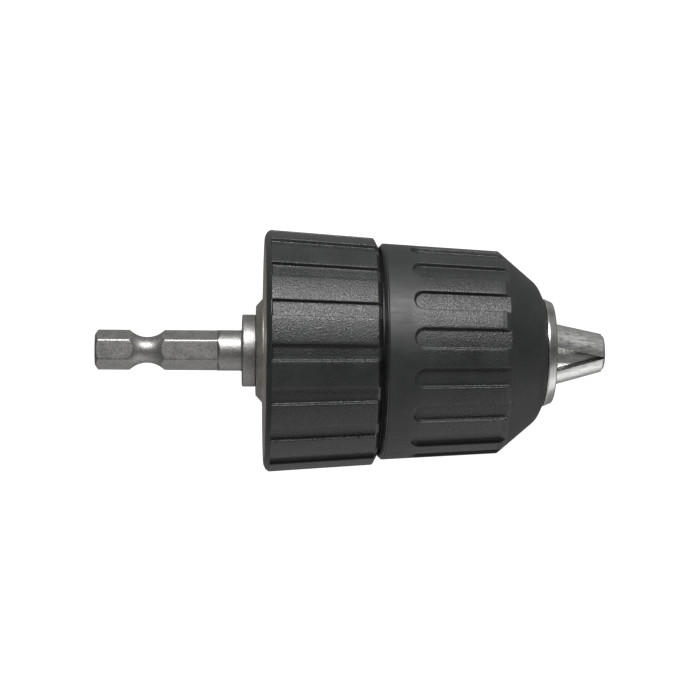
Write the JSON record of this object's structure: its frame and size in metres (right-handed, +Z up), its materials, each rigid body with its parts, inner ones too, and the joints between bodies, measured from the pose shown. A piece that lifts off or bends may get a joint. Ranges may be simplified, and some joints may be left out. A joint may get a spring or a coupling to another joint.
{
  "type": "keyless drill chuck",
  "caption": "Keyless drill chuck with two black grip sleeves, closed steel jaws and a hex quick-change shank; turning the front sleeve opens the jaws.",
  "frame": {"origin": "centre of the shank's tail end face", "axes": "+X along the chuck's axis from the shank to the jaw tips, +Z up, a flat of the hex faces -Y"},
  "size_m": [0.0918, 0.0436, 0.0436],
  "materials": {
    "shank_steel": "satin blasted steel",
    "body_steel": "turned steel, lightly oiled",
    "screw_steel": "blackened steel",
    "clip_steel": "phosphated spring steel",
    "sleeve_plastic": "satin black with a fine moulded texture",
    "ring_plastic": "satin black",
    "cover_steel": "spun sheet steel, satin",
    "nose_steel": "turned steel",
    "race_steel": "ground hardened steel",
    "ball_steel": "polished",
    "cage_brass": "stamped",
    "nut_steel": "turned steel",
    "band_steel": "drawn steel",
    "jaw_steel": "ground hardened steel"
  },
  "bodies": {
    "core": {"shank_adapter": "shank_steel", "chuck_body": "body_steel", "fixing_screw": "screw_steel", "fixing_washer": "clip_steel", "rear_sleeve": "sleeve_plastic", "rear_cover": "cover_steel", "rear_circlip": "clip_steel", "rear_race": "race_steel", "nose_ring": "nose_steel"},
    "turning_sleeve": {"front_sleeve": "sleeve_plastic", "back_ring": "ring_plastic", "front_race": "race_steel", "nut_half_a": "nut_steel", "nut_half_b": "nut_steel", "nut_band": "band_steel"},
    "bearing": {"ball_cage": "cage_brass", "bearing_balls": "ball_steel"},
    "first_jaw": {"jaw_1": "jaw_steel"},
    "second_jaw": {"jaw_2": "jaw_steel"},
    "third_jaw": {"jaw_3": "jaw_steel"}
  },
  "joints": [
    {"name": "sleeve_turn", "type": "hinge", "parent": "core", "child": "turning_sleeve", "pos_m": [0.06, 0, 0], "axis": [1, 0, 0], "range_deg": [0, 3126.8]},
    {"name": "bearing_turn", "type": "hinge", "parent": "core", "child": "bearing", "pos_m": [0.0523, 0, 0], "axis": [1, 0, 0], "range_deg": [0, 1563.4]},
    {"name": "first_jaw_slide", "type": "slide", "parent": "core", "child": "first_jaw", "axis": [-0.9613, -0.1949, 0.1949], "range_m": [0, 0.01737]},
    {"name": "second_jaw_slide", "type": "slide", "parent": "core", "child": "second_jaw", "axis": [-0.9613, -0.0713, -0.2662], "range_m": [0, 0.01737]},
    {"name": "third_jaw_slide", "type": "slide", "parent": "core", "child": "third_jaw", "axis": [-0.9613, 0.2662, 0.0713], "range_m": [0, 0.01737]}
  ],
  "couplings": [
    {"joint": "sleeve_turn", "follows": "first_jaw_slide", "rad_per_m": 3141.6},
    {"joint": "bearing_turn", "follows": "first_jaw_slide", "rad_per_m": 1570.8},
    {"joint": "second_jaw_slide", "follows": "first_jaw_slide", "ratio": 1},
    {"joint": "third_jaw_slide", "follows": "first_jaw_slide", "ratio": 1}
  ]
}
